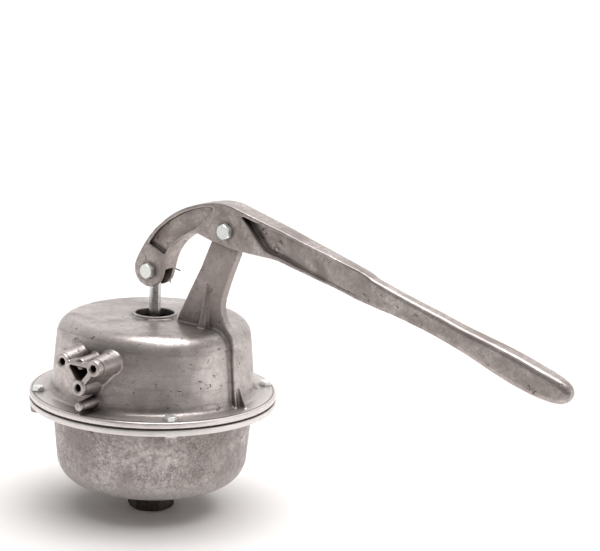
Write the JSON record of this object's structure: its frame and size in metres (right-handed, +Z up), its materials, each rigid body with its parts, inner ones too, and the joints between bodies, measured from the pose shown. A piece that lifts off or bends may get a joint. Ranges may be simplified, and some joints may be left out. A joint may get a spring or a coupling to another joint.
{
  "type": "hand well pump",
  "caption": "Hand well pump: two bolted round castings with a diaphragm between them, a rod through the top and an arched lever on a fulcrum bracket.",
  "frame": {"origin": "centre of the inlet fitting's bottom face, on the pump's axis", "axes": "+Z up the pump's axis, +X towards the lever's grip, the outlet faces -Y"},
  "size_m": [0.7022, 0.2937, 0.3875],
  "materials": {
    "drum_alloy": "die-cast, tumbled to a satin, with faint handling streaks",
    "bowl_alloy": "die-cast, mottled satin with a fine dark network",
    "lever_alloy": "die-cast, grainy satin, worn brighter along its edges",
    "zinc_plate": "pale zinc plate",
    "bright_steel": "drawn bar",
    "dark_iron": "dark brown, oiled",
    "brass": "machined",
    "bronze": "sintered",
    "black_rubber": "moulded, matt",
    "fibre": "pressed fibre, matt"
  },
  "bodies": {
    "pump_body": {"diaphragm": "black_rubber", "flange_bolt_1": "zinc_plate", "flange_bolt_2": "zinc_plate", "flange_bolt_3": "zinc_plate", "flange_bolt_4": "zinc_plate", "flap_bracket_screw_1": "brass", "flap_bracket_screw_2": "brass", "flap_hinge_bracket": "brass", "flap_hinge_pin": "brass", "fulcrum_bush": "bronze", "inlet_fitting": "dark_iron", "inlet_gasket": "fibre", "lower_bowl": "bowl_alloy", "suction_valve_seat": "brass", "upper_housing": "drum_alloy"},
    "lever": {"clevis_pin": "zinc_plate", "clevis_split_pin": "bright_steel", "clevis_washer": "zinc_plate", "lever": "lever_alloy", "pivot_pin": "zinc_plate", "pivot_split_pin": "bright_steel", "pivot_washer": "zinc_plate"},
    "rod": {"piston_rod": "bright_steel", "rod_lower_nut": "zinc_plate", "rod_lower_washer": "zinc_plate", "rod_upper_nut": "zinc_plate", "rod_upper_washer": "zinc_plate"},
    "diaphragm_plates": {"lower_clamp_plate": "bowl_alloy", "plate_nut_1": "bright_steel", "plate_nut_2": "bright_steel", "plate_nut_3": "bright_steel", "plate_nut_4": "bright_steel", "plate_screw_1": "bright_steel", "plate_screw_2": "bright_steel", "plate_screw_3": "bright_steel", "plate_screw_4": "bright_steel", "stop_ring_screw_1": "bright_steel", "stop_ring_screw_2": "bright_steel", "stop_ring_screw_3": "bright_steel", "upper_clamp_plate": "bowl_alloy", "valve_stop_ring": "bowl_alloy"},
    "delivery_disc": {"delivery_valve_disc": "black_rubber"},
    "suction_flap": {"suction_valve_flap": "brass", "suction_valve_facing": "black_rubber"}
  },
  "joints": [
    {"name": "lever_swing", "type": "hinge", "parent": "pump_body", "child": "lever", "pos_m": [0.111, 0, 0.356], "axis": [0, 1, 0], "range_deg": [-13, 14]},
    {"name": "rod_tilt", "type": "hinge", "parent": "lever", "child": "rod", "pos_m": [0, 0, 0.293], "axis": [0, 1, 0], "range_deg": [-20, 19]},
    {"name": "diaphragm_lift", "type": "slide", "parent": "pump_body", "child": "diaphragm_plates", "axis": [0, 0, 1], "range_m": [-0.026, 0.028], "deforming": ["diaphragm"]},
    {"name": "delivery_disc_lift", "type": "slide", "parent": "diaphragm_plates", "child": "delivery_disc", "axis": [0, 0, 1], "range_m": [0, 0.006]},
    {"name": "suction_flap_swing", "type": "hinge", "parent": "pump_body", "child": "suction_flap", "pos_m": [0.033, 0, 0.055], "axis": [0, 1, 0], "range_deg": [0, 20]}
  ],
  "couplings": [
    {"joint": "rod_tilt", "follows": "lever_swing", "ratio": -1.3818},
    {"joint": "diaphragm_lift", "follows": "lever_swing", "m_per_rad": 0.1095}
  ]
}
